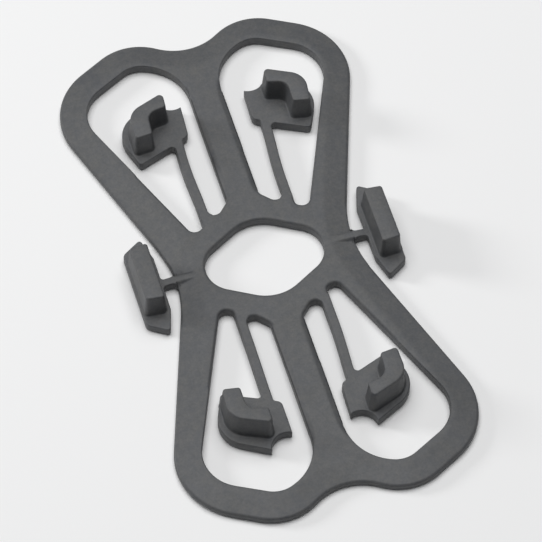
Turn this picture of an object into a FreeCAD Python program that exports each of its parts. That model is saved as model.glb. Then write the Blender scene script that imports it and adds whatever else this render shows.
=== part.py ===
"""Elastomer band of a bicycle phone mount, divided where the moulding bends and stretches.

Frame: millimetres, +Z up, origin at the centre of the oval opening on the underside.
Y runs along the phone and X across it. The band is alike left to right and end to end, so
the upper right quarter (+X, +Y) is drawn and the other three are its mirror images.
"""

import FreeCAD, Part

import math
import os

import Sketcher
from FreeCAD import Vector

doc = FreeCAD.newDocument("PhoneMountBand")

# ---------------------------------------------------------------- driving dimensions

SIZES = [
    # the flat web
    ("band_length", 168.6, "overall, tip of lobe to tip of lobe"),
    ("band_width", 89.5, "overall, across two lobes"),
    ("web_thick", 3.4, "web at the hub, the spines and the edges of the openings"),
    ("rim_thick", 2.2, "web at its outer edge"),
    ("slope_width", 7.0, "width of the band that thins towards the outer edge"),
    ("waist_x", 25.1, "where the straight sides of two lobes would meet"),
    ("waist_radius", 36.0, "rounding of the waist"),
    ("saddle_depth", 8.6, "unrounded dip between two lobes, below their tips"),
    ("saddle_radius", 17.0, "rounding of that dip"),
    ("shoulder_x", 18.2, "unrounded inner shoulder of a lobe, across"),
    ("shoulder_rise", 2.2, "unrounded inner shoulder, beyond the lobe's tip"),
    ("shoulder_radius", 15.5, "rounding of the inner shoulder"),
    ("corner_reach", 4.6, "unrounded outer corner of a lobe, beyond its side"),
    ("corner_drop", 13.8, "unrounded outer corner, below the lobe's tip"),
    ("corner_radius", 20.0, "rounding of the outer corner"),
    # the oval opening: a rounded rhombus
    ("oval_end_x", 26.7, "unrounded end of the oval"),
    ("oval_end_radius", 8.4, "rounding of its ends"),
    ("oval_top_y", 15.0, "unrounded flank of the oval"),
    ("oval_top_radius", 13.0, "rounding of its flanks"),
    # a lobe's opening
    ("spine_width", 10.0, "central spine between two lobe openings"),
    ("spine_bevel_width", 1.6, "bevel along the spine, across"),
    ("spine_bevel_depth", 0.6, "bevel along the spine, down"),
    ("hole_root_y", 21.9, "opening's hub-side corner beside the spine"),
    ("hole_root_radius", 1.8, "rounding there"),
    ("hole_elbow_x", 8.3, "bend in the opening's hub-side edge, across"),
    ("hole_elbow_y", 18.5, "that bend, along"),
    ("hole_elbow_radius", 2.0, "rounding there"),
    ("hole_head_drop", 13.4, "opening's far corner beside the spine, below the tip"),
    ("hole_head_radius", 15.3, "rounding there"),
    ("hole_crown_x", 18.5, "opening's crown, across"),
    ("hole_crown_drop", 7.6, "opening's unrounded crown, below the tip"),
    ("hole_crown_radius", 8.6, "rounding of the crown"),
    ("hole_side_inset", 4.8, "opening's outer corner, in from the lobe's side"),
    ("hole_side_drop", 18.6, "opening's outer corner, below the tip"),
    ("hole_side_radius", 11.5, "rounding there"),
    ("hole_heel_x", 17.8, "opening's outer corner at the hub, across"),
    ("hole_heel_y", 13.2, "opening's outer corner at the hub, along"),
    ("hole_heel_radius", 2.4, "rounding there"),
    # where the moulding is divided
    ("spine_start_y", 23.0, "where a spine leaves the hub"),
    ("bridge_drop", 24.0, "where a spine meets its bridge, below the tip"),
    ("fold_hub_reach", 4.9, "start of a loop's fold line, beyond waist_x"),
    ("fold_hub_y", 14.0, "start of the fold line, along"),
    ("fold_tip_x", 8.0, "end of the fold line, across"),
    ("fold_tip_drop", 4.3, "end of the fold line, below the tip"),
    # corner grips
    ("spoke_width", 2.7, "spoke that carries a corner grip"),
    ("spoke_inset", 3.5, "its centre line, in from the plate's inner edge"),
    ("gusset", 1.3, "straight gussets at the ends of spokes and necks"),
    ("plate_thick", 3.4, "grip plates and spokes, flush with the web"),
    ("grip_gap", 4.4, "between the spine and a grip plate"),
    ("grip_drop", 36.7, "plate's inner hub-side corner, below the lobe's tip"),
    ("plate_long", 17.7, "plate's inner edge, before the notch"),
    ("plate_heel_x", 16.2, "hub-side outer corner, across from the inner edge"),
    ("plate_heel_y", 6.7, "hub-side outer corner, towards the hub"),
    ("plate_nose_x", 21.6, "unrounded far outer corner, across"),
    ("plate_nose_y", 6.5, "unrounded far outer corner, along"),
    ("plate_nose_radius", 7.2, "rounding of that corner"),
    ("notch_x", 2.1, "centre of the round notch in the far inner corner, across"),
    ("notch_y", 14.9, "centre of the notch, along"),
    ("notch_radius", 5.0, "radius of the notch"),
    ("wall_start_x", 5.3, "corner wall's end face, across from the plate's inner edge"),
    ("wall_start_y", 5.5, "its inner edge there, along"),
    ("end_leg", 6.5, "foot of the wall's end leg, along"),
    ("wall_out_x", 18.2, "unrounded outer corner of the wall's foot, across"),
    ("side_leg", 7.0, "foot of the wall's side leg, across"),
    ("side_leg_down", 3.4, "its hub-side end, below the plate's inner corner"),
    ("wall_out_radius", 4.5, "rounding of the wall's outer corner"),
    ("wall_in_radius", 2.6, "rounding of its inner corner"),
    ("wall_end_radius", 1.5, "rounding of the corners of the wall's and bar's ends"),
    ("wall_lean", 1.3, "inner edge of the end leg, its fall towards the corner"),
    ("wall_flare", 0.6, "side leg's end, its slant across and along"),
    ("wall_height", 8.7, "corner walls above their plates"),
    ("wall_draft", 4.5, "degrees that their sides lean in"),
    # side clips
    ("neck_width", 2.5, "neck between hub and clip"),
    ("neck_height", 3.2, "height of the neck"),
    ("neck_length", 4.2, "hub's edge to the clip plate"),
    ("rib_length", 6.0, "rib that carries the neck across the hub's slope"),
    ("clip_thick", 3.0, "clip plates"),
    ("clip_width", 8.4, "clip plate, across"),
    ("clip_inner_length", 16.0, "clip plate's inner edge, along"),
    ("clip_wing_x", 2.6, "clip plate's wing tip, in from the inner edge"),
    ("clip_length", 30.6, "clip plate between its wing tips, along"),
    ("clip_outer_length", 24.9, "clip plate's unrounded outer edge, along"),
    ("bar_inset", 1.2, "clip bar's foot, in from the plate's inner edge"),
    ("bar_width", 6.8, "clip bar's foot, across"),
    ("bar_height", 8.5, "clip bar above its plate"),
    ("bar_length", 20.6, "clip bar's foot, along"),
    ("bar_bevel", 1.9, "bevel on the bar's outer top edge, in from its foot"),
]

sheet = doc.addObject("Spreadsheet::Sheet", "Sizes")
for row, (alias, number, meaning) in enumerate(SIZES, start=1):
    sheet.set(f"A{row}", meaning)
    sheet.set(f"B{row}", str(number))
    sheet.setAlias(f"B{row}", alias)
doc.recompute()


class Size:
    """A length together with the spreadsheet expression that gives it."""

    def __init__(self, value, text):
        self.value = value
        self.text = text

    def _with(self, other, sign, value):
        return Size(value, f"({self.text} {sign} {as_size(other).text})")

    def __add__(self, other):
        return self._with(other, "+", self.value + as_size(other).value)

    def __sub__(self, other):
        return self._with(other, "-", self.value - as_size(other).value)

    def __mul__(self, other):
        return self._with(other, "*", self.value * as_size(other).value)

    def __truediv__(self, other):
        return self._with(other, "/", self.value / as_size(other).value)


def as_size(number):
    """A plain number as a Size."""
    return number if isinstance(number, Size) else Size(float(number), f"{number:g}")


def size(alias):
    """The Size of one spreadsheet cell."""
    return Size(float(getattr(sheet, alias)), f"Sizes.{alias}")


# ---------------------------------------------------------------- sketches and bodies


def new_body(name):
    return doc.addObject("PartDesign::Body", name)


def sketch_on(body, name, plane="XY_Plane", height=None):
    """A sketch on one of the body's own origin planes, raised by a Size if one is given."""
    sketch = body.newObject("Sketcher::SketchObject", name)
    support = next(f for f in body.Origin.OriginFeatures if f.Role == plane)
    sketch.AttachmentSupport = (support, [""])
    sketch.MapMode = "FlatFace"
    if height is not None:
        sketch.AttachmentOffset = FreeCAD.Placement(Vector(0, 0, height.value), FreeCAD.Rotation())
        sketch.setExpression("AttachmentOffset.Base.z", height.text)
    return sketch


def place_point(sketch, point, x, y):
    """Ties a construction point to its two coordinates."""
    for kind, axis, number in (("DistanceX", -2, x), ("DistanceY", -1, y)):
        if number.value == 0:
            sketch.addConstraint(Sketcher.Constraint("PointOnObject", point, 1, axis))
        else:
            made = sketch.addConstraint(Sketcher.Constraint(kind, -1, 1, point, 1, number.value))
            sketch.setExpression(f"Constraints[{made}]", number.text)


def outline(sketch, corners):
    """A closed outline through the corners (x, y, radius), anticlockwise.

    A corner with a radius is rounded by an arc tangent to both of its sides, and one with
    None stays sharp. Lines and arcs are constrained to the corners, which follow the sheet.
    """
    corners = [(as_size(x), as_size(y), r) for x, y, r in corners]
    spots = [Vector(x.value, y.value, 0) for x, y, _ in corners]
    count = len(corners)
    starts, ends, arcs = [], [], []
    for i, (_, _, radius) in enumerate(corners):
        into = (spots[i] - spots[i - 1]).normalize()
        away = (spots[(i + 1) % count] - spots[i]).normalize()
        if radius is None:
            ends.append(spots[i])
            starts.append(spots[i])
            arcs.append(None)
            continue
        turn = math.atan2(into.cross(away).z, into.dot(away))
        trim = radius.value * math.tan(abs(turn) / 2)
        ends.append(spots[i] - into * trim)
        starts.append(spots[i] + away * trim)
        side = math.copysign(1, turn)
        centre = ends[i] + Vector(-into.y, into.x, 0) * (side * radius.value)
        first, last = (ends[i], starts[i]) if turn > 0 else (starts[i], ends[i])
        angles = [math.atan2(p.y - centre.y, p.x - centre.x) for p in (first, last)]
        arcs.append((centre, angles, turn > 0))

    points = [sketch.addGeometry(Part.Point(p), True) for p in spots]
    lines = [
        sketch.addGeometry(Part.LineSegment(starts[i], ends[(i + 1) % count]), False)
        for i in range(count)
    ]
    for i, (x, y, radius) in enumerate(corners):
        place_point(sketch, points[i], x, y)
        before, after = lines[i - 1], lines[i]
        if radius is None:
            sketch.addConstraint(Sketcher.Constraint("Coincident", before, 2, points[i], 1))
            sketch.addConstraint(Sketcher.Constraint("Coincident", after, 1, points[i], 1))
            continue
        centre, (low, high), is_left = arcs[i]
        circle = Part.Circle(centre, Vector(0, 0, 1), radius.value)
        high = high if high > low else high + 2 * math.pi
        arc = sketch.addGeometry(Part.ArcOfCircle(circle, low, high), False)
        near, far = (1, 2) if is_left else (2, 1)
        sketch.addConstraint(Sketcher.Constraint("PointOnObject", points[i], 1, before))
        sketch.addConstraint(Sketcher.Constraint("PointOnObject", points[i], 1, after))
        sketch.addConstraint(Sketcher.Constraint("Tangent", before, 2, arc, near))
        sketch.addConstraint(Sketcher.Constraint("Tangent", arc, far, after, 1))
        made = sketch.addConstraint(Sketcher.Constraint("Radius", arc, radius.value))
        sketch.setExpression(f"Constraints[{made}]", radius.text)


def pad(body, sketch, height, draft=None):
    feature = body.newObject("PartDesign::Pad", sketch.Name + "Pad")
    feature.Profile = sketch
    feature.Length = height.value
    feature.setExpression("Length", height.text)
    if draft is not None:
        feature.TaperAngle = -draft.value
        feature.setExpression("TaperAngle", f"-{draft.text}")
    sketch.Visibility = False
    return feature


def pocket(body, sketch, depth=None):
    """Cuts the sketch through the body, or to a depth. The caller checks that it cut."""
    feature = body.newObject("PartDesign::Pocket", sketch.Name + "Pocket")
    feature.Profile = sketch
    if depth is None:
        feature.Type = "ThroughAll"
        feature.Midplane = True
    else:
        feature.Length = depth.value
        feature.setExpression("Length", depth.text)
    sketch.Visibility = False
    return feature


def edges_where(shape, test):
    """The names of a shape's edges whose bounding box passes the test."""
    return [f"Edge{i}" for i, e in enumerate(shape.Edges, start=1) if test(e.BoundBox)]


def is_level(box, height):
    return abs(box.ZMin - height) < 0.01 and abs(box.ZMax - height) < 0.01


def slab(name, corners, height, low=None):
    """A body made of one padded outline, from low (or 0) upwards."""
    body = new_body(name)
    pad(body, outline_sketch(body, name + "Outline", corners, low), height)
    return body


def outline_sketch(body, name, corners, low=None):
    sketch = sketch_on(body, name, height=low)
    outline(sketch, corners)
    return sketch


def boolean(kind, name, base, tool):
    feature = doc.addObject("Part::" + kind, name)
    feature.Base = base
    feature.Tool = tool
    feature.Refine = True
    return feature


def mirrored(source, name, normal):
    feature = doc.addObject("Part::Mirroring", name)
    feature.Source = source
    feature.Base = Vector(0, 0, 0)
    feature.Normal = normal
    return feature


nodes = {}


def keep(node, feature):
    """Names a document object as one node of the part."""
    feature.Label = node
    nodes[node] = feature
    return feature


ACROSS = Vector(1, 0, 0)
ALONG = Vector(0, 1, 0)


def keep_quarters(piece, upper_right):
    """Keeps a piece of the upper right quarter, and its three mirror images."""
    keep("upper_right_" + piece, upper_right)
    left = mirrored(upper_right, "UpperLeft" + piece, ACROSS)
    keep("upper_left_" + piece, left)
    keep("lower_right_" + piece, mirrored(upper_right, "LowerRight" + piece, ALONG))
    keep("lower_left_" + piece, mirrored(left, "LowerLeft" + piece, ALONG))


def keep_ends(piece, upper):
    keep("upper_" + piece, upper)
    keep("lower_" + piece, mirrored(upper, "Lower" + piece, ALONG))


def keep_sides(piece, right):
    keep("right_" + piece, right)
    keep("left_" + piece, mirrored(right, "Left" + piece, ACROSS))


# ---------------------------------------------------------------- shared places

tip_y = size("band_length") / 2
side_x = size("band_width") / 2
web_thick = size("web_thick")
spine_x = size("spine_width") / 2
QUARTERS = [(1, 1), (-1, 1), (-1, -1), (1, -1)]
ZERO = as_size(0)

shoulder_y = tip_y + size("shoulder_rise")
corner_x = side_x + size("corner_reach")
corner_y = tip_y - size("corner_drop")


def sum_of_squares_root(run, rise):
    """The length of a slanting line, as a Size."""
    return Size(
        math.hypot(run.value, rise.value),
        f"sqrt(pow({run.text}; 2) + pow({rise.text}; 2))",
    )


# The straight sides and rounded waist of the web put the hub's edge here, at y = 0.
side_length = sum_of_squares_root(corner_x - size("waist_x"), corner_y)
waist_edge = size("waist_x") + size("waist_radius") * (side_length / corner_y - 1)

fold_hub = (size("waist_x") + size("fold_hub_reach"), size("fold_hub_y"))
fold_tip = (size("fold_tip_x"), tip_y - size("fold_tip_drop"))


def on_fold(y):
    """The point of a loop's fold line at a given y."""
    y = as_size(y)
    share = (y - fold_hub[1]) / (fold_tip[1] - fold_hub[1])
    return fold_hub[0] + (fold_tip[0] - fold_hub[0]) * share, y


# ---------------------------------------------------------------- the web


def all_round(corners):
    """Corners of the upper right quarter, carried round all four quarters anticlockwise.

    They start on or near the X axis. One that lies on an axis isn't repeated.
    """
    whole = []
    for sx, sy in QUARTERS:
        turned = [(x * sx, y * sy, r) for x, y, r in corners]
        whole += turned if sx == sy else turned[::-1]
    kept = []
    for corner in whole:
        last = kept[-1] if kept else whole[-1]
        is_new = math.dist([c.value for c in corner[:2]], [c.value for c in last[:2]]) > 0.01
        if is_new:
            kept.append(corner)
    return kept


def make_web():
    """The whole web, before it is divided: outline, thinned rim, openings and bevels."""
    web = new_body("Web")
    edge = [
        (size("waist_x"), ZERO, size("waist_radius")),
        (corner_x, corner_y, size("corner_radius")),
        (size("shoulder_x"), shoulder_y, size("shoulder_radius")),
        (ZERO, tip_y - size("saddle_depth"), size("saddle_radius")),
    ]
    blank = pad(web, outline_sketch(web, "WebOutline", all_round(edge)), web_thick)
    doc.recompute()

    slope = web.newObject("PartDesign::Chamfer", "RimSlope")
    top_edges = edges_where(blank.Shape, lambda box: is_level(box, web_thick.value))
    slope.Base = (blank, top_edges)
    slope.ChamferType = "Two distances"
    slope.Size = web_thick.value - size("rim_thick").value
    slope.setExpression("Size", (web_thick - size("rim_thick")).text)
    slope.Size2 = size("slope_width").value
    slope.setExpression("Size2", "Sizes.slope_width")
    doc.recompute()

    oval = [
        (size("oval_end_x"), ZERO, size("oval_end_radius")),
        (ZERO, size("oval_top_y"), size("oval_top_radius")),
    ]
    pocket(web, outline_sketch(web, "Oval", all_round(oval)))

    opening = [
        (spine_x, size("hole_root_y"), size("hole_root_radius")),
        (size("hole_elbow_x"), size("hole_elbow_y"), size("hole_elbow_radius")),
        (size("hole_heel_x"), size("hole_heel_y"), size("hole_heel_radius")),
        (side_x - size("hole_side_inset"), tip_y - size("hole_side_drop"), size("hole_side_radius")),
        (size("hole_crown_x"), tip_y - size("hole_crown_drop"), size("hole_crown_radius")),
        (spine_x, tip_y - size("hole_head_drop"), size("hole_head_radius")),
    ]
    for sx, sy in QUARTERS:
        corners = [(x * sx, y * sy, r) for x, y, r in opening]
        corners = corners if sx == sy else corners[::-1]
        number = QUARTERS.index((sx, sy)) + 1
        pocket(web, outline_sketch(web, f"LobeOpening{number}", corners))
    doc.recompute()
    return web


web = make_web()

# ---------------------------------------------------------------- the web's pieces


def web_piece(name, corners):
    """The part of the web that stands on one outline."""
    zone = slab(name + "Zone", corners, web_thick * 2)
    return boolean("Common", name, web, zone)


far_x = side_x + 10
far_y = tip_y + 5
hub_reach = size("fold_hub_y") * 2.5

loop_zone = [(*on_fold(0), None), (far_x, ZERO, None), (far_x, far_y, None), (*on_fold(far_y), None)]
keep_quarters("loop", web_piece("Loop", loop_zone))

bridge_y = tip_y - size("bridge_drop")
bridge_in = on_fold(bridge_y)
bridge_out = on_fold(far_y)
bridge_zone = [
    (bridge_in[0] * -1, bridge_in[1], None),
    (*bridge_in, None),
    (*bridge_out, None),
    (bridge_out[0] * -1, bridge_out[1], None),
]
keep_ends("bridge", web_piece("Bridge", bridge_zone))

hub_zone = [
    (*on_fold(0), None),
    (*on_fold(hub_reach), None),
    (spine_x * 2, hub_reach, None),
    (spine_x * 2, size("spine_start_y"), None),
]
keep("hub", web_piece("Hub", all_round(hub_zone)))


def make_spine():
    """A straight bar with both top edges bevelled, from the hub to the bridge."""
    spine = new_body("UpperSpine")
    section = sketch_on(spine, "SpineSection", plane="XZ_Plane")
    crest_x = spine_x - size("spine_bevel_width")
    bevel_z = web_thick - size("spine_bevel_depth")
    outline(
        section,
        [
            (spine_x * -1, ZERO, None),
            (spine_x, ZERO, None),
            (spine_x, bevel_z, None),
            (crest_x, web_thick, None),
            (crest_x * -1, web_thick, None),
            (spine_x * -1, bevel_z, None),
        ],
    )
    start_y = size("spine_start_y")
    section.AttachmentOffset = FreeCAD.Placement(Vector(0, 0, -start_y.value), FreeCAD.Rotation())
    section.setExpression("AttachmentOffset.Base.z", f"-{start_y.text}")
    pad(spine, section, bridge_y - start_y).Reversed = True
    return spine


keep_ends("spine", make_spine())

# ---------------------------------------------------------------- corner grips

grip_x = spine_x + size("grip_gap")
grip_y = tip_y - size("grip_drop")
plate_thick = size("plate_thick")
heel = (grip_x + size("plate_heel_x"), grip_y - size("plate_heel_y"))


def make_grip_plate():
    plate = slab(
        "GripPlate",
        [
            (grip_x, grip_y, as_size(2)),
            (*heel, as_size(1)),
            (
                grip_x + size("plate_nose_x"),
                grip_y + size("plate_nose_y"),
                size("plate_nose_radius"),
            ),
            (grip_x, grip_y + size("plate_long"), None),
        ],
        plate_thick,
    )
    notch = sketch_on(plate, "Notch")
    centre = (grip_x + size("notch_x"), grip_y + size("notch_y"))
    radius = size("notch_radius")
    middle = Vector(centre[0].value, centre[1].value, 0)
    circle = notch.addGeometry(Part.Circle(middle, Vector(0, 0, 1), radius.value), False)
    pairs = (("DistanceX", centre[0]), ("DistanceY", centre[1]))
    for kind, number in pairs:
        made = notch.addConstraint(Sketcher.Constraint(kind, -1, 1, circle, 3, number.value))
        notch.setExpression(f"Constraints[{made}]", number.text)
    made = notch.addConstraint(Sketcher.Constraint("Radius", circle, radius.value))
    notch.setExpression(f"Constraints[{made}]", radius.text)
    pocket(plate, notch)
    return plate


grip_plate = make_grip_plate()
keep_quarters("plate", grip_plate)


def make_corner_wall():
    """The V-shaped wall round a phone's corner: an end leg and a side leg on one foot."""
    wall = new_body("CornerWall")
    start_x = grip_x + size("wall_start_x")
    start_y = grip_y + size("wall_start_y")
    out_x = grip_x + size("wall_out_x")
    in_x = out_x - size("side_leg")
    low_y = grip_y - size("side_leg_down")
    soft = size("wall_end_radius")
    flare = size("wall_flare")
    foot = [
        (start_x, start_y, soft),
        (in_x, start_y - size("wall_lean"), size("wall_in_radius")),
        (in_x, low_y + flare, soft),
        (out_x - flare, low_y, soft),
        (out_x, start_y + size("wall_lean"), size("wall_out_radius")),
        (start_x, start_y + size("end_leg"), soft),
    ]
    sketch = outline_sketch(wall, "WallFoot", foot, plate_thick)
    pad(wall, sketch, size("wall_height"), size("wall_draft"))
    return wall


keep_quarters("wall", make_corner_wall())


def along_line(start, end, x):
    """The y at which a straight line through two points reaches x."""
    return start[1] + (end[1] - start[1]) * ((x - start[0]) / (end[0] - start[0]))


def make_spoke():
    """From the hub's edge to the grip plate, with a gusset at each end."""
    left = grip_x + size("spoke_inset") - size("spoke_width") / 2
    right = left + size("spoke_width")
    gusset = size("gusset")
    hub_left = (size("hole_elbow_x"), size("hole_elbow_y"))
    hub_right = (size("hole_heel_x"), size("hole_heel_y"))
    left_foot = along_line(hub_left, hub_right, left)
    right_foot = along_line(hub_left, hub_right, right)
    plate_right = along_line((grip_x, grip_y), heel, right)
    spoke = slab(
        "Spoke",
        [
            (left - gusset * 2, left_foot - gusset, None),
            (right + gusset * 2, right_foot - gusset * 2.2, None),
            (right, right_foot + gusset, None),
            (right, plate_right - gusset, None),
            (right + gusset * 1.6, plate_right + gusset * 0.4, None),
            (left, plate_right + gusset * 1.6, None),
            (left, left_foot + gusset, None),
        ],
        plate_thick,
    )
    return boolean("Cut", "SpokeFitted", boolean("Cut", "SpokeOffHub", spoke, web), grip_plate)


keep_quarters("spoke", make_spoke())

# ---------------------------------------------------------------- side clips

clip_x = waist_edge + size("neck_length")
clip_thick = size("clip_thick")


def both_ways(corners):
    """Corners below the X axis, followed by their mirror images above it."""
    return corners + [(x, y * -1, r) for x, y, r in reversed(corners)]


def make_clip_plate():
    out_x = clip_x + size("clip_width")
    corners = both_ways(
        [
            (clip_x, size("clip_inner_length") / -2, None),
            (clip_x + size("clip_wing_x"), size("clip_length") / -2, as_size(0.7)),
            (out_x, size("clip_outer_length") / -2, as_size(2)),
        ]
    )
    return slab("ClipPlate", corners, clip_thick)


def make_clip_bar():
    bar = new_body("ClipBar")
    in_x = clip_x + size("bar_inset")
    out_x = in_x + size("bar_width")
    half = size("bar_length") / 2
    soft = size("wall_end_radius")
    foot = both_ways([(in_x, half * -1, soft), (out_x, half * -1 + size("wall_flare"), soft)])
    pad(
        bar,
        outline_sketch(bar, "BarFoot", foot, clip_thick),
        size("bar_height"),
        size("wall_draft"),
    )

    top_z = clip_thick + size("bar_height")
    bevel = size("bar_bevel")
    wedge = sketch_on(bar, "BarBevel", plane="XZ_Plane")
    outline(
        wedge,
        [
            (out_x - bevel * 2, top_z + bevel, None),
            (out_x + bevel, top_z - bevel * 2, None),
            (out_x + bevel, top_z + bevel, None),
        ],
    )
    pocket(bar, wedge)
    return bar


clip_plate = make_clip_plate()
keep_sides("clip_plate", clip_plate)
keep_sides("clip_bar", make_clip_bar())


def make_neck():
    """From the rib on the hub's slope to the clip plate, with gussets at both ends."""
    half = size("neck_width") / 2
    gusset = size("gusset") * 0.8
    corners = both_ways(
        [
            (waist_edge - size("rib_length"), half * -1, None),
            (waist_edge - gusset, half * -1, None),
            (waist_edge - gusset, half * -1 - gusset, None),
            (waist_edge, half * -1 - gusset, None),
            (waist_edge + gusset, half * -1, None),
            (clip_x - gusset, half * -1, None),
            (clip_x, half * -1 - gusset, None),
        ]
    )
    neck = slab("Neck", corners, size("neck_height"))
    return boolean("Cut", "NeckOffHub", neck, web)


keep_sides("neck", make_neck())

# ---------------------------------------------------------------- checks and export

doc.recompute()
for item in doc.Objects:
    bad = [word for word in ("Invalid", "Error") if word in item.State]
    if bad:
        raise RuntimeError(f"{item.Name}: {bad}")

os.makedirs("parts", exist_ok=True)
for node, feature in nodes.items():
    shape = feature.Shape
    if shape.isNull() or not shape.isValid() or len(shape.Solids) != 1:
        raise RuntimeError(f"{node}: needs one valid solid, has {len(shape.Solids)}")
    shape.exportStep(f"parts/{node}.step")
    box = shape.BoundBox
    print(
        f"{node:20s} {shape.Volume:9.1f} mm3  x {box.XMin:7.2f} {box.XMax:7.2f}"
        f"  y {box.YMin:7.2f} {box.YMax:7.2f}  z {box.ZMin:5.2f} {box.ZMax:5.2f}"
    )
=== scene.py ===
import math

import bpy
import numpy as np
from mathutils import Matrix, Vector
from mathutils.geometry import delaunay_2d_cdt


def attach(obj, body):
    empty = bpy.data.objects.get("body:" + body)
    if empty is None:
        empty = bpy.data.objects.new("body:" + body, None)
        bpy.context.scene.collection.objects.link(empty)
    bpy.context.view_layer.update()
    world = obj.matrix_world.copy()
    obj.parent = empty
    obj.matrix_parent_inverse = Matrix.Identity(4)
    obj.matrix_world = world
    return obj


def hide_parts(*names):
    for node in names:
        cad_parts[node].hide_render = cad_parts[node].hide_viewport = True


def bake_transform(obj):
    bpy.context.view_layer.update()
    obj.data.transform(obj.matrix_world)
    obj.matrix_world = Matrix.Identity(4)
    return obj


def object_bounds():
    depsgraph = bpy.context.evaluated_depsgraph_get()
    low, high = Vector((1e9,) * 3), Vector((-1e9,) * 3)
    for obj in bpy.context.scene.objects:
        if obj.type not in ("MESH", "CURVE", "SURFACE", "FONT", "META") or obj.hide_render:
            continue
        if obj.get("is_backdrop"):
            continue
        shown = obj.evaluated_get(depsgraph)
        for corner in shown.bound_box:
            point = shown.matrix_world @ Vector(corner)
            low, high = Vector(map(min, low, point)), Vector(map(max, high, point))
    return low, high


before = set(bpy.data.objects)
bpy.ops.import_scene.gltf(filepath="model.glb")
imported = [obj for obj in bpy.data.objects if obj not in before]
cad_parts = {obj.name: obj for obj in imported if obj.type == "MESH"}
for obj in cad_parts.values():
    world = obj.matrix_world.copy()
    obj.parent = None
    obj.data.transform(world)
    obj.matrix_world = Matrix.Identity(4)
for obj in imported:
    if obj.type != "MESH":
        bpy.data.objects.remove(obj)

cad_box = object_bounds()

# The band is one soft moulding. It is drawn here as one flat domain, meshed once, given its
# heights, and then divided into a piece for each CAD node, so that no seam shows between pieces.
# Loops, spines and bridges are parted where the CAD parts them. Spokes and necks are parted a few
# millimetres inside the CAD's ends. All sizes are in millimetres until a mesh is made.

MM = 0.001
QUARTERS = {
    "upper_right": (1, 1),
    "upper_left": (-1, 1),
    "lower_left": (-1, -1),
    "lower_right": (1, -1),
}

# ---------------------------------------------------------------- outlines

WEB_Z = 3.4
RIM_Z = 2.2
SLOPE = 7.0
PLATE_Z = 3.4
WALL_TOP_Z = 12.1
CLIP_Z = 3.0
SPINE_BEVEL = 0.65
BAR_TOP_Z = 11.5
NECK_Z = 3.3

PLAIN_EDGE = [(25.1, 0, 36), (49.35, 70.5, 20), (18.2, 86.8, 17), (0, 75.7, 17)]
NECK = 1.2
TRUE_EDGE = [
    (39.77, 12.45, 2.0),
    (33.5, 16.3, 0.8),
    (31.37, 9.0, 0.8),
    (31.37, NECK, 0.9),
    (27.17, NECK, 1.4),
    (27.38, 6.63, 36),
] + PLAIN_EDGE[1:]
OVAL = [(26.7, 0, 8.4), (0, 15.0, 13.0)]

SPOKE_L, SPOKE_R = 11.55, 14.25
HUB_L = (5.0, 21.9)
HUB_ELBOW = (8.3, 18.5)
HUB_R = (17.8, 13.2)
PLATE_IN = (9.4, 47.6)
PLATE_HEEL = (25.7, 40.7)


def at_x(a, b, x):
    """The y of the line through a and b at x."""
    return a[1] + (b[1] - a[1]) * (x - a[0]) / (b[0] - a[0])


# Round a lobe's opening, anticlockwise, with the spoke and its grip plate as a peninsula.
OPENING = [
    (*HUB_L, 1.8),
    (*HUB_ELBOW, 2.0),
    (SPOKE_L, 18.1, 1.9),
    (SPOKE_L, at_x(PLATE_IN, PLATE_HEEL, SPOKE_L) + 0.2, 0.7),
    (9.4, 47.9, 2.0),
    (9.4, 58.5, 0.08),
    (15.4, 55.9, 5.0),
    (16.6, 62.4, 0.08),
    (31.2, 54.5, 8.6),
    (*PLATE_HEEL, 1.0),
    (SPOKE_R, at_x(PLATE_IN, PLATE_HEEL, SPOKE_R), 1.2),
    (SPOKE_R, at_x(HUB_ELBOW, HUB_R, SPOKE_R), 1.4),
    (*HUB_R, 2.4),
    (39.95, 65.7, 11.5),
    (18.5, 76.7, 8.6),
    (5.0, 70.9, 15.3),
]
# The same opening without its spoke and plate.
OPENING_PLAIN = [OPENING[0], OPENING[1], *OPENING[12:]]
WALL = [
    (14.7, 53.2, 1.5),
    (20.6, 51.9, 2.6),
    (20.7, 44.6, 1.5),
    (27.1, 43.6, 1.6),
    (27.8, 54.3, 6.5),
    (14.7, 59.9, 1.9),
]
BAR_OUT_X = 39.37
BAR = [(BAR_OUT_X, 9.7, 1.5), (32.57, 10.3, 1.5)]
BAR_BEVEL = 0.95

# As it lies, the band is relaxed and not quite even: each grip has turned and moved a little on
# its spoke. A turn is in degrees, clockwise from above, and the moves are along X and Y, for the
# plate and then for the wall on it.
GRIP_CENTRE = (19.5, 50.5)
GRIP_LIE = {
    "upper_left": (3.4, (0.25, 0.0), (0.45, 0.25)),
    "upper_right": (2.4, (1.5, -0.75), (0.0, 0.5)),
    "lower_left": (0.4, (-0.3, -0.2), (0.3, 0.4)),
    "lower_right": (2.5, (-1.0, 0.2), (0.0, -0.5)),
}
LIE_START_Y, LIE_END_Y = 22.0, 44.0

# Where the pieces meet.
FOLD_HUB = np.array((30.0, 14.0))
FOLD_TIP = np.array((8.0, 80.0))
SPINE_Y = (23.0, 60.3)
SPOKE_Y = (20.0, 44.0)
NECK_X = (27.6, 31.2)


def all_round(corners):
    """Corners of the first quarter carried round all four, anticlockwise."""
    whole = []
    for sx, sy in QUARTERS.values():
        turned = [(x * sx, y * sy, r) for x, y, r in corners]
        whole += turned if sx == sy else turned[::-1]
    kept = []
    for corner in whole:
        last = kept[-1] if kept else whole[-1]
        if math.dist(corner[:2], last[:2]) > 0.01:
            kept.append(corner)
    return kept


def in_quarter(corners, sx, sy):
    """Corners mirrored into a quarter, still anticlockwise."""
    turned = [(x * sx, y * sy, r) for x, y, r in corners]
    return turned if sx == sy else turned[::-1]


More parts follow.
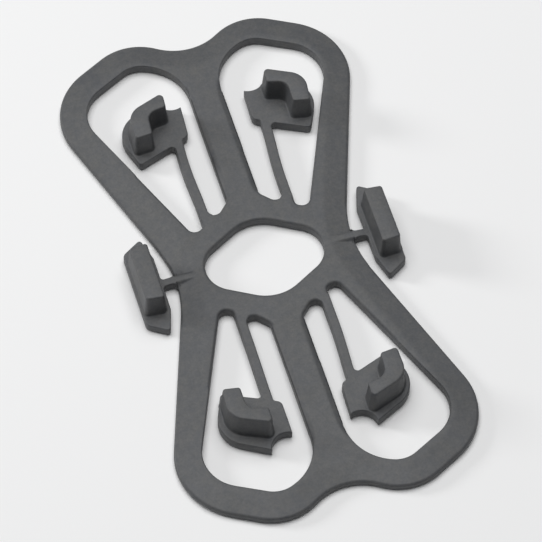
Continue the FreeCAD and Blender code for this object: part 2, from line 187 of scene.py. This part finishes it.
def ring(corners, inset=0.0, step=1.0, arc_step=0.5):
    """Points round a closed anticlockwise outline moved to its left by inset.

    The count of points doesn't depend on inset, so rings of one outline pair up.
    """
    spots = np.array([c[:2] for c in corners], float)
    radii = np.array([c[2] for c in corners], float)
    along = np.roll(spots, -1, axis=0) - spots
    along /= np.linalg.norm(along, axis=1)[:, None]
    inward = np.c_[-along[:, 1], along[:, 0]]
    before, before_in = np.roll(along, 1, axis=0), np.roll(inward, 1, axis=0)
    turn = np.arctan2(
        before[:, 0] * along[:, 1] - before[:, 1] * along[:, 0], (before * along).sum(1)
    )
    half = np.tan(np.abs(turn) / 2)
    mitre = (before_in + inward) / (1 + (before_in * inward).sum(1))[:, None]
    moved = spots + mitre * inset
    new_radii = np.maximum(radii - np.sign(turn) * inset, 0.02)

    def ends(points, r):
        trim = (r * half)[:, None]
        return points - before * trim, points + along * trim

    old_in, old_out = ends(spots, radii)
    arc_in, arc_out = ends(moved, new_radii)
    points = []
    count = len(corners)
    for i in range(count):
        steps = max(2, math.ceil(radii[i] * abs(turn[i]) / arc_step))
        steps = min(steps, max(6, math.ceil(abs(turn[i]) * 14)))
        side = math.copysign(1, turn[i])
        centre = arc_in[i] + before_in[i] * side * new_radii[i]
        spoke = arc_in[i] - centre
        for k in range(steps + 1):
            angle = turn[i] * k / steps
            c, s = math.cos(angle), math.sin(angle)
            points.append(centre + (spoke[0] * c - spoke[1] * s, spoke[0] * s + spoke[1] * c))
        run = np.linalg.norm(old_in[(i + 1) % count] - old_out[i])
        cuts = max(1, round(run / step))
        for k in range(1, cuts):
            points.append(arc_out[i] + (arc_in[(i + 1) % count] - arc_out[i]) * k / cuts)
    return np.array(points)


def distance_to(points, loops):
    """The distance from each point to the nearest of some closed polylines."""
    best = np.full(len(points), 1e9)
    for loop in loops:
        a, b = loop, np.roll(loop, -1, axis=0)
        d = b - a
        size = np.maximum((d * d).sum(1), 1e-12)
        for low in range(0, len(points), 2000):
            p = points[low : low + 2000, None, :]
            share = np.clip(((p - a) * d).sum(2) / size, 0, 1)
            gap = np.linalg.norm(p - (a + share[..., None] * d), axis=2).min(1)
            best[low : low + 2000] = np.minimum(best[low : low + 2000], gap)
    return best


def inside(points, loop):
    """Which points lie inside a closed polyline."""
    x, y = points[:, 0], points[:, 1]
    hits = np.zeros(len(points), bool)
    for (ax, ay), (bx, by) in zip(loop, np.roll(loop, -1, axis=0)):
        if ay == by:
            continue
        crossed = (ay > y) != (by > y)
        hits ^= crossed & (x < ax + (y - ay) * (bx - ax) / (by - ay))
    return hits


# ---------------------------------------------------------------- the flat domain

EDGE_RADIUS = 0.4
HOLE_RADIUS = 0.9
RIM_RADIUS = 0.8
UNDER_RADIUS = 0.35
EDGE_RINGS = (0.0, 0.03, 0.09, 0.18, 0.29, 0.42, 0.66, 0.9)
CREASE_RINGS = (6.2, 6.7, 7.0, 7.3, 7.8)
GRID = 1.7
GRID_X = np.arange(-45, 45.1, GRID)
GRID_Y = np.arange(-85, 85.1, GRID)

# Lines of extra edges: across each part where it is cut, and along each crease.
SPOKE_CUT_X = (10.8, 12.9, 15.0)
SPINE_CUT_X = np.linspace(-5.6, 5.6, 9)
NECK_CUT_Y = (-3.2, -1, 0, 1, 3.2)
SPINE_CREASE_X = (2.6, 3.1, 3.4, 3.7)
SPINE_CREASE_Y = np.arange(20.5, 66, 1.4)
RIB_CREASE_X = np.arange(19.0, 27.3, 0.8)
RIB_CREASE_Y = (-1.6, -1.3, -1.0, -0.6, 0.6, 1.0, 1.3, 1.6)

edge_loop = ring(all_round(TRUE_EDGE))
plain_loop = ring(all_round(PLAIN_EDGE))
oval_loop = ring(all_round(OVAL))
opening_loops = [ring(in_quarter(OPENING, sx, sy)) for sx, sy in QUARTERS.values()]
holes = [oval_loop] + opening_loops


def fold_distance(points):
    """How far points of the first quarter lie outside the fold line."""
    run = FOLD_TIP - FOLD_HUB
    out = np.array((run[1], -run[0])) / np.linalg.norm(run)
    return (points - FOLD_HUB) @ out


def make_domain():
    """Triangles of the whole flat band, with edges along every ring and every parting line."""
    points, edges = [], []

    def add(line, closed):
        start = len(points)
        points.extend(map(tuple, line))
        count = len(line)
        for k in range(count if closed else count - 1):
            edges.append((start + k, start + (k + 1) % count))

    for inset in EDGE_RINGS:
        add(ring(all_round(TRUE_EDGE), inset), True)
        add(ring(all_round(OVAL), -inset), True)
        for sx, sy in QUARTERS.values():
            add(ring(in_quarter(OPENING, sx, sy), -inset), True)
    for inset in CREASE_RINGS:
        add(ring(all_round(PLAIN_EDGE), inset, step=1.6, arc_step=1.2), True)

    run = FOLD_TIP - FOLD_HUB
    fold = [FOLD_HUB + run * t for t in np.linspace(-0.1, 1.1, 60)]
    for sx, sy in QUARTERS.values():
        sign = np.array((sx, sy))
        add([p * sign for p in fold], False)
        for y in SPOKE_Y:
            add([(x * sx, y * sy) for x in SPOKE_CUT_X], False)
        for x in SPINE_CREASE_X:
            add([(x * sx, y * sy) for y in SPINE_CREASE_Y], False)
    for s in (1, -1):
        for y in SPINE_Y:
            add([(x, y * s) for x in SPINE_CUT_X], False)
        for x in NECK_X:
            add([(x * s, y) for y in NECK_CUT_Y], False)
        for y in RIB_CREASE_Y:
            add([(x * s, y) for x in RIB_CREASE_X], False)

    grid = np.array([(x + (j % 2) * GRID / 2, y) for j, y in enumerate(GRID_Y) for x in GRID_X])
    clear = distance_to(grid, [edge_loop] + holes) > 0.6 + GRID * 0.4
    clear &= inside(grid, edge_loop)
    points.extend(map(tuple, grid[clear]))

    found = delaunay_2d_cdt([Vector(p) for p in points], edges, [], 0, 1e-4)
    spots = np.array([tuple(v) for v in found[0]])
    faces = np.array([tuple(f) for f in found[2]])
    middle = spots[faces].mean(1)
    keep = inside(middle, edge_loop)
    for hole in holes:
        keep &= ~inside(middle, hole)
    a, b, c = (spots[faces[:, k]] for k in range(3))
    area = (b[:, 0] - a[:, 0]) * (c[:, 1] - a[:, 1]) - (b[:, 1] - a[:, 1]) * (c[:, 0] - a[:, 0])
    faces[area < 0] = faces[area < 0][:, ::-1]
    keep &= np.abs(area) > 1e-7
    return spots, faces[keep], middle[keep]


def soft_min(a, b, k):
    """The lower of two heights, with the crease between them rounded."""
    h = np.clip(0.5 + 0.5 * (b - a) / k, 0, 1)
    return b + (a - b) * h - k * h * (1 - h)


def edge_drop(gap, radius):
    """How far an edge of that radius has fallen at a distance from the outline."""
    d = np.clip(gap, 0, radius)
    return radius - np.sqrt(np.maximum(radius**2 - (radius - d) ** 2, 0))


def smooth(t):
    t = np.clip(t, 0, 1)
    return t * t * (3 - 2 * t)


SLOPE_SOFT = 0.12
BEVEL_X, BEVEL_WIDTH, BEVEL_SOFT = 3.4, 1.6, 0.1
BEVEL_NEAR_Y, BEVEL_NEAR_RUN = 24.6, 2.4
BEVEL_FAR_Y, BEVEL_FAR_RUN = 57.5, 7.5
SPINE_EDGE_X = 5.01
SPINE_BEVEL_Y = (21.0, 66)
RIB_LIFT, RIB_HALF_Y, RIB_SLOPE, RIB_SOFT = 0.06, 0.9, 1.1, 0.2
RIB_START_X, RIB_END_Y = 18, 4
NECK_FALL_X, NECK_FALL_RUN = 28.0, 3.6
SPOKE_FOOT_X, SPOKE_FOOT_Y = (10.5, 15.5), 17
HOLE_SOFT_Y = 38
NECK_ROOT_X, NECK_ROOT_Y = 20, 4
SAME_GAP = 0.01


def heights(spots, gap, plain_gap, hole_gap):
    """The height of the band's top face at each point."""
    x, y = np.abs(spots[:, 0]), np.abs(spots[:, 1])
    slope = RIM_Z + (WEB_Z - RIM_Z) * plain_gap / SLOPE
    z = soft_min(slope, np.full(len(x), WEB_Z), SLOPE_SOFT)

    # bevels along the spines, which run out in a curve at both ends
    near = 1 - np.sqrt(1 - np.clip((BEVEL_NEAR_Y - y) / BEVEL_NEAR_RUN, 0, 1) ** 2)
    far = np.clip((y - BEVEL_FAR_Y) / BEVEL_FAR_RUN, 0, 1) ** 2
    start = BEVEL_X + BEVEL_WIDTH * np.clip(near + far, 0, 1)
    bevel = WEB_Z - SPINE_BEVEL * (x - start) / BEVEL_WIDTH
    on_spine = (x < SPINE_EDGE_X) & (y > SPINE_BEVEL_Y[0]) & (y < SPINE_BEVEL_Y[1])
    z = np.where(on_spine, soft_min(z, bevel, BEVEL_SOFT), z)

    # the rib that carries each neck over the hub's slope
    beside = ~inside(spots, plain_loop) & (plain_gap > 0.02)
    rib = NECK_Z + RIB_LIFT - RIB_SLOPE * np.maximum(y - RIB_HALF_Y, 0)
    on_rib = (x > RIB_START_X) & ~beside & (y < RIB_END_Y)
    z = np.where(on_rib, -soft_min(-z, -rib, RIB_SOFT), z)

    # spokes and plates are flush with the web, and necks fall to the clips' thickness
    z = np.where(inside(np.c_[x, y], ring(OPENING_PLAIN)), PLATE_Z, z)
    neck = NECK_Z - (NECK_Z - CLIP_Z) * smooth((x - NECK_FALL_X) / NECK_FALL_RUN)
    z = np.where(beside, neck, z)

    # holes are rounded more than plates, except where a spoke leaves the hub
    by_spoke = (x > SPOKE_FOOT_X[0]) & (x < SPOKE_FOOT_X[1]) & (y > SPOKE_FOOT_Y)
    on_hole = (hole_gap < gap + SAME_GAP) & (y <= HOLE_SOFT_Y) & ~by_spoke
    radius = np.where(on_hole, HOLE_RADIUS, EDGE_RADIUS)
    radius = np.where(on_rim(spots, gap, plain_gap), RIM_RADIUS, radius)
    return z - edge_drop(gap, radius)


def on_rim(spots, gap, plain_gap):
    """Points whose nearest edge is the web's own outer edge, clear of the necks."""
    x, y = np.abs(spots[:, 0]), np.abs(spots[:, 1])
    return (plain_gap < gap + SAME_GAP) & ((y > NECK_ROOT_Y) | (x < NECK_ROOT_X))


# ---------------------------------------------------------------- meshes


def mesh_object(name, vertices, faces, sharp=40):
    """A shaded object from millimetre vertices."""
    mesh = bpy.data.meshes.new(name)
    mesh.from_pydata([tuple(v) for v in np.asarray(vertices) * MM], [], [list(f) for f in faces])
    mesh.validate()
    mesh.shade_smooth()
    mesh.set_sharp_from_angle(angle=math.radians(sharp))
    obj = bpy.data.objects.new(name, mesh)
    bpy.context.collection.objects.link(obj)
    obj.data.materials.append(elastomer)
    return obj


def slab_piece(name, spots, faces, top, bottom):
    """A closed piece from part of the domain: top, underside, and a wall round its rim."""
    used, local = np.unique(faces, return_inverse=True)
    local = local.reshape(faces.shape)
    count = len(used)
    vertices = np.r_[
        np.c_[spots[used], top[used]],
        np.c_[spots[used], bottom[used]],
    ]
    sides = np.r_[local[:, [0, 1]], local[:, [1, 2]], local[:, [2, 0]]]
    keys = {tuple(e) for e in sides.tolist()}
    rim = [(a, b) for a, b in keys if (b, a) not in keys]
    walls = [(b, a, a + count, b + count) for a, b in rim]
    under = local[:, ::-1] + count
    return mesh_object(name, vertices, [*local.tolist(), *under.tolist(), *walls])


def ring_piece(name, rings, levels, flip=False):
    """A closed piece through rings of equal count, from the lowest to the highest."""
    count = len(rings[0])
    vertices = np.vstack([np.c_[r, np.full(count, z)] for r, z in zip(rings, levels)])
    faces = [list(range(count))[::-1]]
    for level in range(len(rings) - 1):
        low, high = level * count, (level + 1) * count
        for k in range(count):
            n = (k + 1) % count
            faces.append([low + k, low + n, high + n, high + k])
    faces.append([(len(rings) - 1) * count + k for k in range(count)])
    return mesh_object(name, vertices, faces)


# ---------------------------------------------------------------- material


def make_elastomer():
    """Matt grey elastomer: a fine moulded grain and a faint uneven bloom."""
    material = bpy.data.materials.new("elastomer")
    material.use_nodes = True
    nodes, links = material.node_tree.nodes, material.node_tree.links
    shader = nodes["Principled BSDF"]
    place = nodes.new("ShaderNodeTexCoord")

    def noise(scale, detail, rough=0.6):
        node = nodes.new("ShaderNodeTexNoise")
        node.inputs["Scale"].default_value = scale
        node.inputs["Detail"].default_value = detail
        node.inputs["Roughness"].default_value = rough
        links.new(place.outputs["Object"], node.inputs["Vector"])
        return node

    def ramp(source, low, high, at=(0.3, 0.7)):
        node = nodes.new("ShaderNodeValToRGB")
        node.color_ramp.elements[0].position = at[0]
        node.color_ramp.elements[1].position = at[1]
        node.color_ramp.elements[0].color = (*low, 1)
        node.color_ramp.elements[1].color = (*high, 1)
        links.new(source.outputs["Fac"], node.inputs["Fac"])
        return node

    grain = noise(scale=1500, detail=3)
    bloom = noise(scale=140, detail=4)
    broad = noise(scale=28, detail=2)
    tone = ramp(grain, GREY_LOW, GREY_HIGH)
    haze = ramp(bloom, (0.92, 0.93, 0.96), (1.08, 1.07, 1.04))
    fleck = ramp(noise(520, 2), (0.88, 0.90, 0.93), (1.12, 1.10, 1.07))
    drift = ramp(broad, (0.97, 0.97, 0.97), (1.03, 1.03, 1.03))
    mixed = tone.outputs["Color"]
    for other in (haze, drift, fleck):
        multiply = nodes.new("ShaderNodeMix")
        multiply.data_type = "RGBA"
        multiply.blend_type = "MULTIPLY"
        multiply.inputs["Factor"].default_value = 1.0
        links.new(mixed, multiply.inputs["A"])
        links.new(other.outputs["Color"], multiply.inputs["B"])
        mixed = multiply.outputs["Result"]
    links.new(mixed, shader.inputs["Base Color"])

    matt = ramp(bloom, (0.52, 0.52, 0.52), (0.62, 0.62, 0.62))
    links.new(matt.outputs["Color"], shader.inputs["Roughness"])
    shader.inputs["Specular IOR Level"].default_value = 0.5

    relief = nodes.new("ShaderNodeBump")
    relief.inputs["Strength"].default_value = 0.25
    relief.inputs["Distance"].default_value = 0.00006
    links.new(grain.outputs["Fac"], relief.inputs["Height"])
    links.new(relief.outputs["Normal"], shader.inputs["Normal"])
    return material


GREY_LOW = (0.070, 0.072, 0.075)
GREY_HIGH = (0.090, 0.092, 0.095)
elastomer = make_elastomer()

# ---------------------------------------------------------------- the band

spots, faces, middle = make_domain()
gap = distance_to(spots, [edge_loop] + holes)
plain_gap = distance_to(spots, [plain_loop])
hole_gap = distance_to(spots, holes)
top = heights(spots, gap, plain_gap, hole_gap)
bottom = edge_drop(gap, np.where(on_rim(spots, gap, plain_gap), RIM_RADIUS, UNDER_RADIUS))

# Limits that keep each kind of piece to its own part of the domain.
SPOKE_LIMIT_X, PLATE_LIMIT_Y, NECK_LIMIT_Y, CLIP_LIMIT_Y, SPINE_LIMIT_X = 15.2, 30, 3.0, 16, 5.3

folded = np.abs(middle)
mx, my = folded[:, 0], folded[:, 1]
is_peninsula = inside(folded, ring(OPENING_PLAIN))
is_spoke = is_peninsula & (my > SPOKE_Y[0]) & (my < SPOKE_Y[1]) & (mx < SPOKE_LIMIT_X)
is_plate = is_peninsula & ~is_spoke & (my > PLATE_LIMIT_Y)
is_stub = is_peninsula & ~is_spoke & ~is_plate
is_neck = (mx > NECK_X[0]) & (mx < NECK_X[1]) & (my < NECK_LIMIT_Y)
is_clip = (mx > NECK_X[1]) & (my < CLIP_LIMIT_Y) & ~inside(middle, plain_loop)
is_web = ~is_peninsula & ~is_neck & ~is_clip
is_loop = is_web & (fold_distance(folded) > 0)
is_spine = is_web & (mx < SPINE_LIMIT_X) & (my > SPINE_Y[0]) & (my < SPINE_Y[1])
is_bridge = is_web & ~is_loop & ~is_spine & (my > SPINE_Y[1])
is_hub = (is_web & ~is_loop & ~is_spine & ~is_bridge) | is_stub


def lie(points, quarter, share, on_wall=False):
    """Points of a grip where the relaxed band holds them, in proportion to share."""
    sx, sy = QUARTERS[quarter]
    turn, plate_move, wall_move = GRIP_LIE[quarter]
    angle = -math.radians(turn)
    c, s = math.cos(angle), math.sin(angle)
    centre = np.array((GRIP_CENTRE[0] * sx, GRIP_CENTRE[1] * sy))
    arm = points - centre
    turned = np.c_[arm[:, 0] * c - arm[:, 1] * s, arm[:, 0] * s + arm[:, 1] * c]
    moved = centre + turned + plate_move + (np.array(wall_move) if on_wall else 0)
    return points + (moved - points) * np.asarray(share)[..., None]


bare_opening = ring(OPENING_PLAIN)
in_opening = inside(np.abs(spots), bare_opening)
in_opening &= distance_to(np.abs(spots), [bare_opening]) > 1.5
for quarter, (sx, sy) in QUARTERS.items():
    mine = in_opening & (spots[:, 0] * sx > 0) & (spots[:, 1] * sy > 0)
    share = smooth((np.abs(spots[mine, 1]) - LIE_START_Y) / (LIE_END_Y - LIE_START_Y))
    spots[mine] = lie(spots[mine], quarter, share)


def piece(node, chosen):
    made = slab_piece(node + "_skin", spots, faces[chosen], top, bottom)
    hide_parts(node)
    return made


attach(piece("hub", is_hub), "base")
for end, sy in (("upper", 1), ("lower", -1)):
    here = middle[:, 1] * sy > 0
    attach(piece(end + "_spine", is_spine & here), "base")
    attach(piece(end + "_bridge", is_bridge & here), "base")

WALL_DRAFT = math.tan(math.radians(4.5))


def wall_profile(low, high):
    """Insets and heights up the side of a wall: a fillet, a drafted face, a rounded top."""
    foot = [(-0.5, low - 0.15), (-0.42, low), (-0.2, low + 0.06), (-0.06, low + 0.18)]
    side = [(WALL_DRAFT * rise, low + rise) for rise in (0.4, 2.0, 4.0, 6.0, 7.0, 7.4)]
    side += [(WALL_DRAFT * (high - 0.6 - low), high - 0.6)]
    crown = [(0.68, high - 0.34), (0.79, high - 0.16), (0.96, high - 0.05), (1.18, high)]
    return foot + side + crown


FOLD_BEND = 12.0
for quarter, (sx, sy) in QUARTERS.items():
    here = (middle[:, 0] * sx > 0) & (middle[:, 1] * sy > 0)
    sign = np.array((sx, sy))

    loop = piece(quarter + "_loop", is_loop & here)
    run = (FOLD_TIP - FOLD_HUB) / np.linalg.norm(FOLD_TIP - FOLD_HUB)
    out = np.array((run[1], -run[0])) * sign
    start = (FOLD_HUB + FOLD_TIP) / 2 * sign
    end = start + out * FOLD_BEND
    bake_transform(loop)

    spoke = piece(quarter + "_spoke", is_spoke & here)
    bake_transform(spoke)

    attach(piece(quarter + "_plate", is_plate & here), quarter + "_grip")

    wall = in_quarter(WALL, sx, sy)
    profile = wall_profile(PLATE_Z, WALL_TOP_Z)
    rings = [ring(wall, inset, step=1.5, arc_step=0.25) for inset, _ in profile]
    rings = [lie(points, quarter, np.ones(len(points)), on_wall=True) for points in rings]
    made = ring_piece(quarter + "_wall_skin", rings, [z for _, z in profile])
    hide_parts(quarter + "_wall")
    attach(made, quarter + "_grip")

BAR_PROFILE = wall_profile(CLIP_Z, BAR_TOP_Z)
for side, sx in (("right", 1), ("left", -1)):
    here = middle[:, 0] * sx > 0
    neck = piece(side + "_neck", is_neck & here)
    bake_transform(neck)
    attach(piece(side + "_clip_plate", is_clip & here), side + "_clip")

    foot = [(x, -y, r) for x, y, r in BAR[::-1]] + BAR
    if sx < 0:
        foot = [(-x, y, r) for x, y, r in foot][::-1]
    rings = []
    for inset, z in BAR_PROFILE:
        points = ring(foot, inset, step=1.0, arc_step=0.25)
        limit = np.full(len(points), BAR_OUT_X - BAR_BEVEL + BAR_TOP_Z - z)
        points[:, 0] = soft_min(points[:, 0] * sx, limit, 0.35) * sx
        rings.append(points)
    made = ring_piece(side + "_clip_bar_skin", rings, [z for _, z in BAR_PROFILE])
    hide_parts(side + "_clip_bar")
    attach(made, side + "_clip")

# ---------------------------------------------------------------- stage, light and camera


def plain_material(name, colour, rough):
    material = bpy.data.materials.new(name)
    material.use_nodes = True
    nodes, links = material.node_tree.nodes, material.node_tree.links
    shader = nodes["Principled BSDF"]
    speckle = nodes.new("ShaderNodeTexNoise")
    speckle.inputs["Scale"].default_value = 12
    tint = nodes.new("ShaderNodeValToRGB")
    tint.color_ramp.elements[0].color = (*[c * 0.995 for c in colour], 1)
    tint.color_ramp.elements[1].color = (*colour, 1)
    links.new(speckle.outputs["Fac"], tint.inputs["Fac"])
    links.new(tint.outputs["Color"], shader.inputs["Base Color"])
    shader.inputs["Roughness"].default_value = rough
    return material


FLOOR_HALF, FLOOR_Z = 6.0, -0.0003


def make_floor():
    mesh = bpy.data.meshes.new("floor")
    half = FLOOR_HALF
    corners = [(-half, -half), (half, -half), (half, half), (-half, half)]
    mesh.from_pydata([(x, y, FLOOR_Z) for x, y in corners], [], [(0, 1, 2, 3)])
    floor = bpy.data.objects.new("floor", mesh)
    bpy.context.collection.objects.link(floor)
    mesh.materials.append(plain_material("pale_floor", (0.9, 0.9, 0.9), 0.9))
    floor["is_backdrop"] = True


def area_light(name, place, aim, size, power):
    light = bpy.data.lights.new(name, "AREA")
    light.shape = "DISK"
    light.size = size
    light.energy = power
    obj = bpy.data.objects.new(name, light)
    obj.location = place
    obj.rotation_euler = (Vector(aim) - Vector(place)).to_track_quat("-Z", "Y").to_euler()
    bpy.context.collection.objects.link(obj)


make_floor()
area_light("overhead", place=(0.0, 0.25, 1.25), aim=(0, 0, 0), size=1.3, power=15.0)
area_light("left_side", place=(-1.15, 0.7, 0.5), aim=(0, 0, 0), size=0.35, power=7.5)

world = bpy.data.worlds.new("studio")
world.use_nodes = True
world.node_tree.nodes["Background"].inputs["Color"].default_value = (0.95, 0.97, 1.0, 1)
world.node_tree.nodes["Background"].inputs["Strength"].default_value = 0.11
bpy.context.scene.world = world
bpy.context.scene.view_settings.view_transform = "Standard"


def make_camera():
    azimuth, elevation, roll = (math.radians(a) for a in (-18.60, 58.37, 1.73))
    distance = 1.134
    aim = Vector((0.00095, -0.00338, 0))
    back = Vector(
        (
            math.sin(azimuth) * math.cos(elevation),
            -math.cos(azimuth) * math.cos(elevation),
            math.sin(elevation),
        )
    )
    right = Vector((math.cos(azimuth), math.sin(azimuth), 0))
    up = back.cross(right)
    turned_right = right * math.cos(roll) + up * math.sin(roll)
    turned_up = up * math.cos(roll) - right * math.sin(roll)
    data = bpy.data.cameras.new("camera")
    data.lens = 256.1
    data.sensor_width = 36
    data.clip_end = 30
    camera = bpy.data.objects.new("camera", data)
    place = aim + back * distance
    matrix = Matrix((turned_right, turned_up, back)).transposed().to_4x4()
    matrix.translation = place
    camera.matrix_world = matrix
    bpy.context.collection.objects.link(camera)
    bpy.context.scene.camera = camera


make_camera()

boxes = {"cad": cad_box, "visual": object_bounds()}
boxes = {name: [list(map(float, corner)) for corner in box] for name, box in boxes.items()}
